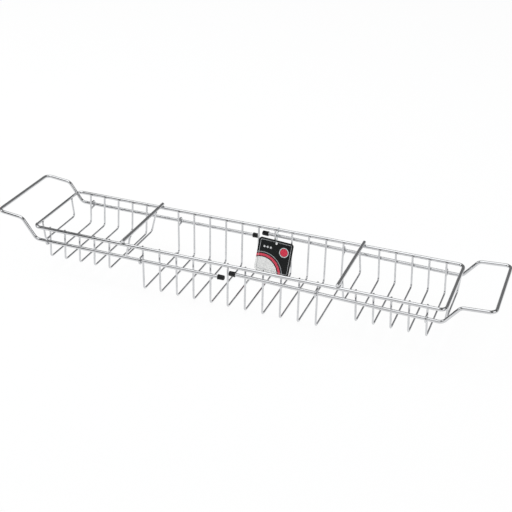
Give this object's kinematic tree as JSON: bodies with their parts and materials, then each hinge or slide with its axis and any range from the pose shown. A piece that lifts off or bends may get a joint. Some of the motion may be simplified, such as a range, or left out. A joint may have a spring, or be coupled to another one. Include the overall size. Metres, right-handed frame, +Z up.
{
  "type": "bath rack",
  "caption": "Long chromed wire basket with a deep middle and shallow ends, to lie across a bath on a pull-out wire handle at each end.",
  "frame": {"origin": "bottom centre of the basket: the middle of the underside of the middle centre rib, on which the rack stands", "axes": "+X along the rack towards the right-hand handle, +Y to the back, +Z up"},
  "size_m": [0.6583, 0.1336, 0.0801],
  "materials": {
    "bright_chrome": "bright chrome plate on steel wire",
    "black_plastic": "moulded black plastic",
    "printed_card": "laminated black card with a plain print",
    "clear_nylon": "clear nylon line"
  },
  "bodies": {
    "basket": {"rim_wire": "bright_chrome", "divider_left": "bright_chrome", "divider_right": "bright_chrome", "end_guard_left": "bright_chrome", "end_guard_right": "bright_chrome", "divider_guard_left": "bright_chrome", "divider_guard_right": "bright_chrome", "rib_centre_1": "bright_chrome", "rib_centre_2": "bright_chrome", "rib_centre_3": "bright_chrome", "rib_centre_4": "bright_chrome", "rib_centre_5": "bright_chrome", "rib_centre_6": "bright_chrome", "rib_centre_7": "bright_chrome", "rib_centre_8": "bright_chrome", "rib_centre_9": "bright_chrome", "rib_centre_10": "bright_chrome", "rib_centre_11": "bright_chrome", "rib_left_1": "bright_chrome", "rib_left_2": "bright_chrome", "rib_left_3": "bright_chrome", "rib_left_4": "bright_chrome", "rib_left_5": "bright_chrome", "rib_right_1": "bright_chrome", "rib_right_2": "bright_chrome", "rib_right_3": "bright_chrome", "rib_right_4": "bright_chrome", "rib_right_5": "bright_chrome", "guide_left_outer_front": "bright_chrome", "guide_left_outer_back": "bright_chrome", "guide_left_inner_front": "bright_chrome", "guide_left_inner_back": "bright_chrome", "guide_right_outer_front": "bright_chrome", "guide_right_outer_back": "bright_chrome", "guide_right_inner_front": "bright_chrome", "guide_right_inner_back": "bright_chrome", "swing_tag": "printed_card", "tag_loop": "clear_nylon"},
    "left_handle": {"handle_left": "bright_chrome", "cap_left_front": "black_plastic", "cap_left_back": "black_plastic"},
    "right_handle": {"handle_right": "bright_chrome", "cap_right_front": "black_plastic", "cap_right_back": "black_plastic"}
  },
  "joints": [
    {"name": "left_handle_slide", "type": "slide", "parent": "basket", "child": "left_handle", "axis": [-1, 0, 0], "range_m": [0, 0.105]},
    {"name": "right_handle_slide", "type": "slide", "parent": "basket", "child": "right_handle", "axis": [0.9997, 0, -0.0252], "range_m": [0, 0.1031]}
  ]
}
